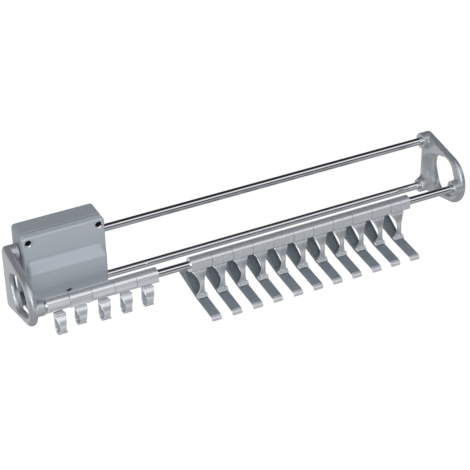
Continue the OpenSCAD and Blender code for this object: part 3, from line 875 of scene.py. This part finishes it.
def belly_height(x, z):
    """How far the belly stands out at a place, with soft ends and the dip of the label field."""
    if z > FULL_TOP:
        wave = (1 - math.cos(math.pi * (BELLY_TOP - z) / (BELLY_TOP - FULL_TOP))) / 2
    elif z > FULL_LOW:
        wave = 1
    else:
        wave = (1 + math.cos(math.pi * (FULL_LOW - z) / (FULL_LOW - BELLY_LOW))) / 2
    middle_z = (BELLY_TOP + BELLY_LOW) / 2
    out_x = max(abs(x) - (BELLY_HALF_W - BELLY_CORNER), 0)
    out_z = max(abs(z - middle_z) - ((BELLY_TOP - BELLY_LOW) / 2 - BELLY_CORNER), 0)
    inside = BELLY_CORNER - math.hypot(out_x, out_z)
    roll = math.sqrt(max(1 - (1 - min(max(inside, 0) / BELLY_ROLL, 1)) ** 2, 0))
    dip = LABEL_DIP if abs(x) < LABEL_HALF_W and LABEL_LOW < z < LABEL_TOP else 0
    return BELLY_OUT * wave * roll - dip * wave * min(roll * 8, 1)


def belly():
    """The grid, closed by side walls and a flat back that lies inside the cover."""
    bm = bmesh.new()
    bmesh.ops.create_grid(bm, x_segments=167, y_segments=102, size=0.5)
    width, height = 2 * BELLY_HALF_W + 0.4, BELLY_TOP - BELLY_LOW
    for v in bm.verts:
        x, z = v.co.x * width, BELLY_LOW + (v.co.y + 0.5) * height
        v.co = Vector((x, -FRONT + 0.05 - belly_height(x, z), z)) * MM
    border = [e for e in bm.edges if e.is_boundary]
    grown = bmesh.ops.extrude_edge_only(bm, edges=border)["geom"]
    back = [g for g in grown if isinstance(g, bmesh.types.BMVert)]
    for v in back:
        v.co.y = (-FRONT + 1) * MM
    open_edges = [g for g in grown if isinstance(g, bmesh.types.BMEdge) and g.is_boundary]
    bmesh.ops.edgeloop_fill(bm, edges=open_edges)
    bmesh.ops.recalc_face_normals(bm, faces=bm.faces)
    return settled(bm)


print("wells at", WELL_X, WELL_Z, "mm, screw at height", round(SCREW_Z, 1), "mm")

# %% Housing shells
rail_holes = [bar((p.y / MM, p.z / MM), rail_r / MM + BUSH_WALL, -HALF_W - 1, HALF_W + 1)
              for p in slide_rails]
wells = [shaft(s * WELL_X, WELL_Z, 4, FRONT + 2, WELL_R) for s in (-1, 1)]
wall_holes = [shaft(s * WELL_X, WELL_Z, -1, 5, WALL_HOLE_R) for s in (-1, 1)]
mouths = [shaft(s * WELL_X, WELL_Z, FRONT - 3, FRONT + 2, MOUTH_R) for s in (-1, 1)]
screw_hole = shaft(0, SCREW_Z, FRONT - 3, FRONT + 12, SCREW_HOLE_R)
shell = rounded_block(HALF_W, HALF_H, 0, SEAM_START, 4, 0.5)
shell = carved(shell, rail_holes + wells + wall_holes)
band = rounded_block(HALF_W - 0.6, HALF_H - 0.6, SEAM_START - 1, SEAM_END + 1, 3.4, 0.2)
band = carved(band, wells)
make_piece("housing_back_shell", [shell, band], "housing_back", "housing", ["housing_base"])
cover = rounded_block(HALF_W, HALF_H, SEAM_END, FRONT, 4, 2.2)
cover = carved(cover, wells + mouths + [screw_hole])
make_piece("housing_front_cover", [cover, carved(belly(), [screw_hole])],
           "housing_front", "housing", ["housing_cover"])
# Both are rings given as (radius, distance along the well)
WELL_SHADE_TUBE = [(2.8, 0), (3.08, 0), (3.08, 21.3), (2.8, 21.3), (2.8, 0)]
EYELET = [(3.0, 0), (4.07, 0), (4.07, 1.2), (3.98, 1.2), (3.0, 0.15), (3.0, 0)]
for side, name in ((-1, "left"), (1, "right")):
    place = (side * WELL_X, WELL_Z)
    # A black tube in the dark bush plastic paints the shade deep in the well
    shade_tube = across(turned(WELL_SHADE_TUBE, (0, 0), steps=40), *place, -(FRONT - 23))
    make_piece(f"well_painted_shade_{name}", [shade_tube], "bush", "housing")
    eyelet = across(turned(EYELET, (0, 0), steps=48), *place, -(FRONT - 1.5))
    make_piece(f"well_eyelet_{name}", [eyelet], "screw", "housing")
print("housing shells", 2, "and painted_shade_tubes in both wells")

# %% Cover screw
HEAD = [(0, 0), (2.8, 0), (2.8, 0.7), (2.5, 1.2), (1.6, 1.6), (0, 1.6)]
head = turned(HEAD, (0, 0), steps=40)
slots = [block((0.9, -1.7, -0.35), (2, 1.7, 0.35)), block((0.9, -0.35, -1.7), (2, 0.35, 1.7))]
shank = bar((0, 0), 1.5, -12, 0.2, segments=24)
parts = [across(mesh, 0, SCREW_Z, -(FRONT - 3)) for mesh in (carved(head, slots), shank)]
make_piece("cover_screw_cross_head", parts, "screw", "housing", ["cover_screw"])
print("cover screw at", SCREW_Z)

# %% [markdown]
# All hooks share one kind of sleeve: a collar on the rail, round over the top, with a flat
# front and a keel below that steps back, so the hook's strip has something to hang from. The
# belt hooks' keel also has a small lip in front. One outline seen along the rail holds all of
# that, an arc and a few corners. It is extruded, its rims are rounded and the bore is cut last.

# %% Sleeve
SLEEVE_R = 7.5
SLEEVE_GAP = 0.3  # between one hook's sleeve and the next


def sleeve(x_low, x_high, keel):
    """keel lists the corners (y, z) below the round top, from the front round to the back."""
    outline_points = arc((0, 0), SLEEVE_R, -12, 146, 60) + keel
    solid = side_slab(outline_points, x_low, x_high, rim=0.3, segments=2)
    return carved(solid, [bar((0, 0), BORE_R, x_low - 1, x_high + 1)])


print("sleeve radius", SLEEVE_R, "mm")

# %% [markdown]
# A belt hook's strip leaves the sleeve's keel, runs down, turns round at the bottom and comes
# back up in front, where its tip ends close under the sleeve. It is stamped from one flat
# strip, so it is modelled as one: an edge as wide as the strip is extruded down and then spun
# round the two bends. Each row of points then gets the width of its place in the loop, and a
# wall is added on one side.

# %% Belt hooks
BELT_TILTS = (-6.5, 11, 0, 3, 5.5)
BELT_PITCH = 23.4
BELT_KEEL = [(-6.2, -1.2), (-7.6, -3.9), (-7.5, -4.4), (-6.8, -4.7), (-0.5, -8.6), (4, -9.2),
             (6, -9.2)]
STRIP_HALF, WAIST_HALF, TOP_HALF = 4.8, 2.9, 6.2
LOW_BEND, FRONT_BEND = (-4.85, -26), (1, -21.63)
WIDENING = 3.8  # the height over which the strip is even again below its waist


def strip_edge(bm, y, z, half, columns=4):
    """A row of edges along the rails that a ribbon grows from."""
    verts = [bm.verts.new(((-half + 2 * half * i / columns) * MM, y * MM, z * MM))
             for i in range(columns + 1)]
    return [bm.edges.new(pair) for pair in zip(verts, verts[1:])]


def run_straight(bm, edges, dy, dz, steps=4):
    for _ in range(steps):
        grown = bmesh.ops.extrude_edge_only(bm, edges=edges)["geom"]
        verts = [g for g in grown if isinstance(g, bmesh.types.BMVert)]
        bmesh.ops.translate(bm, vec=(0, dy / steps * MM, dz / steps * MM), verts=verts)
        edges = [g for g in grown if isinstance(g, bmesh.types.BMEdge)]
    return edges


def run_round(bm, edges, centre, degrees, steps):
    last = bmesh.ops.spin(bm, geom=edges, cent=(0, centre[0] * MM, centre[1] * MM),
                          axis=(1, 0, 0), angle=math.radians(degrees), steps=steps)["geom_last"]
    return [g for g in last if isinstance(g, bmesh.types.BMEdge)]


def waist(z, top_half, low_half, waist_z, lip_z):
    """Half the width at height z of a strip whose sides are arcs that are closest at waist_z."""
    rise = waist_z - lip_z
    radius = (rise ** 2 + (top_half - low_half) ** 2) / (2 * (top_half - low_half))
    return low_half + radius - math.sqrt(max(radius ** 2 - (z - waist_z) ** 2, 0))


def belt_half(y, z):
    """Half the width of a belt hook's strip: even behind and in the bend, waisted in front."""
    waist_z = LOW_BEND[1]
    if y > LOW_BEND[0] or z < waist_z - WIDENING:
        return STRIP_HALF
    if z > waist_z:
        return min(waist(z, TOP_HALF, WAIST_HALF, waist_z, lip_z=-10.2), TOP_HALF)
    share = (waist_z - z) / WIDENING
    return WAIST_HALF + (STRIP_HALF - WAIST_HALF) * (1 - math.cos(math.pi * share)) / 2


def belt_strip():
    bm = bmesh.new()
    edges = strip_edge(bm, 0.85, -8.2, STRIP_HALF)
    edges = run_straight(bm, edges, 0, -17.8, steps=8)
    edges = run_round(bm, edges, LOW_BEND, -143.2, 24)
    edges = run_round(bm, edges, FRONT_BEND, -98.1, 24)
    run_straight(bm, edges, 0.7, 2.3, steps=3)
    for v in bm.verts:
        v.co.x *= belt_half(v.co.y / MM, v.co.z / MM) / STRIP_HALF
    bmesh.ops.recalc_face_normals(bm, faces=bm.faces)
    aim = Vector((0, 0.85, -12)) * MM
    back = min(bm.faces, key=lambda f: (f.calc_center_median() - aim).length)
    if back.normal.y < 0:
        bmesh.ops.reverse_faces(bm, faces=bm.faces)
    return settled(bm, wall=1.9 * MM, rim=0.45 * MM)


for n, tilt in enumerate(BELT_TILTS, 1):
    node = f"belt_hook_{n}"
    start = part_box(node)[0].x
    strip = belt_strip()
    strip.transform(Matrix.Translation((BELT_PITCH / 2 * MM, 0, 0)))
    place = (Matrix.Translation((start, hook_axis.y, hook_axis.z))
             @ Matrix.Rotation(math.radians(tilt), 4, "X"))
    collar = sleeve(0, BELT_PITCH - SLEEVE_GAP, BELT_KEEL)
    make_piece(f"{node}_piece", [collar, strip], "belt_hook", f"belt_{n}", [node], place)
print("belt hooks", len(BELT_TILTS))

# %% [markdown]
# A tie holder has three pieces. The silver one is a sleeve with a finger that bends forward,
# narrows to a waist and ends in a small foot. The foot stands on a dark arm, a thin strip in
# front that rises behind the foot as a wedge with a sunken panel, and then runs back up to
# the sleeve, so a tie lies in a closed loop. A bright cap covers the arm's front end. The
# sleeve is made in two halves, whose rounded rims leave a fine line in its middle.

# %% Tie holder pieces
TIE_TILTS = (0, 0.4, -0.3, 0.5, 0, -0.4, 0.3, 0.6, -0.2, 0.3, 0)
TIE_PITCH = 23
TIE_KEEL = [(-6.2, -4.9), (-5.9, -5.3), (0, -9.3), (2.5, -10.4), (9, -10.4)]
ARM_W = 10.4
PANEL_DEPTH = 1.8
FINGER_CENTRE, FINGER_R = (20.2, -27.6), 25.4
FINGER_START = math.radians(134.5)
FINGER_HALF = 8


def finger():
    """A ribbon on an arc, waisted, with its middle line raised a little."""
    bm = bmesh.new()
    y = FINGER_CENTRE[0] + FINGER_R * math.cos(FINGER_START)
    z = FINGER_CENTRE[1] + FINGER_R * math.sin(FINGER_START)
    edges = strip_edge(bm, y, z, FINGER_HALF)
    run_round(bm, edges, FINGER_CENTRE, 74, 26)
    for v in bm.verts:
        half = waist(v.co.z / MM, FINGER_HALF, low_half=2.2, waist_z=-27, lip_z=-11.2)
        v.co.x *= min(half, FINGER_HALF) / FINGER_HALF
    for v in bm.verts:
        if abs(v.co.x) < 0.2 * MM:
            v.co.y -= 0.5 * MM
    front = min(bm.faces, key=lambda f: abs(f.calc_center_median().z / MM + 27))
    if front.normal.y > 0:
        bmesh.ops.reverse_faces(bm, faces=bm.faces)
    return settled(bm, wall=2 * MM, rim=0.5 * MM)


def foot():
    """A block with a round bead along its front edge and one along its upper edge."""
    profile = [(-5.4, -41), (-0.4, -41), (-0.4, -38.2), (-3.6, -38), (-5.6, -39.4)]
    beads = [bar((-5.7, -39.7), 0.85, -5.4, 5.4, segments=20),
             bar((-4.1, -37.6), 0.8, -5.4, 5.4, segments=20)]
    return [side_slab(profile, -5.3, 5.3, rim=0.4), *beads]


def arm_body():
    """Front strip, wedge with its panel, and the arm's round back end, in one side view."""
    profile = [(-34.6, -42.7), (-6.6, -41), (3, -41), (27, -28), (5.4, -10.4), (9, -10.4)]
    profile += arc((39, -33), 4, -81.6, 59.6, 10)[::-1]
    profile += [(0, -43.7), (-34.6, -45.4)]
    solid = side_slab(profile, -ARM_W / 2, ARM_W / 2, rim=0.5, limit=40)
    return carved(solid, [panel_cutter()])


def panel_cutter():
    """A leaf with a round lower end, laid on the arm's slope and sunk into it."""
    turns = [math.radians(a) for a in range(180, 361, 15)]
    leaf = [(3.9 * math.cos(a), 5.2 + 4 * math.sin(a)) for a in turns]
    leaf += [(3.9, 17), (3.2, 24), (-3.2, 24), (-3.9, 17)]
    bm = bmesh.new()
    bm.faces.new([bm.verts.new((x * MM, y * MM, -PANEL_DEPTH * MM)) for x, y in leaf])
    extrude(bm, (0, 0, 4))
    mesh = settled(bm, rim=0.3 * MM, segments=2)
    slope = Matrix.Rotation(math.atan2(13, 24), 4, "X")
    mesh.transform(Matrix.Translation((0, 3 * MM, -41 * MM)) @ slope)
    return mesh


def tip():
    """The bright cap over the arm's front end."""
    profile = [(-34.4, -42.5), (-36.8, -43.4), (-38.4, -44.9), (-38.4, -47.3), (-37.3, -48.6),
               (-34.4, -45.8)]
    return side_slab(profile, -ARM_W / 2 + 0.1, ARM_W / 2 - 0.1, rim=0.5)


def tie_sleeve():
    half = (TIE_PITCH - SLEEVE_GAP) / 2
    return [sleeve(0, half, TIE_KEEL), sleeve(half, TIE_PITCH - SLEEVE_GAP, TIE_KEEL)]


print("arm width", ARM_W, "mm")

# %% Tie holders
for n, tilt in enumerate(TIE_TILTS, 1):
    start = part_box(f"tie_clip_{n}")[0].x
    turn = Matrix.Rotation(math.radians(tilt), 4, "X")
    at_sleeve = Matrix.Translation((start, hook_axis.y, hook_axis.z)) @ turn
    middle_x = start + TIE_PITCH / 2 * MM
    at_middle = Matrix.Translation((middle_x, hook_axis.y, hook_axis.z)) @ turn
    body = f"tie_{n}"
    shift = Matrix.Translation((TIE_PITCH / 2 * MM, 0, 0))
    hanging = [finger(), *foot()]
    for mesh in hanging:
        mesh.transform(shift)
    make_piece(f"tie_clip_{n}_piece", tie_sleeve() + hanging, "tie_clip", body,
               [f"tie_clip_{n}"], at_sleeve)
    make_piece(f"tie_arm_{n}_piece", [arm_body()], "tie_arm", body, [f"tie_arm_{n}"], at_middle)
    make_piece(f"tie_tip_{n}_piece", [tip()], "tie_tip", body, [f"tie_tip_{n}"], at_middle)
print("tie holders", len(TIE_TILTS))
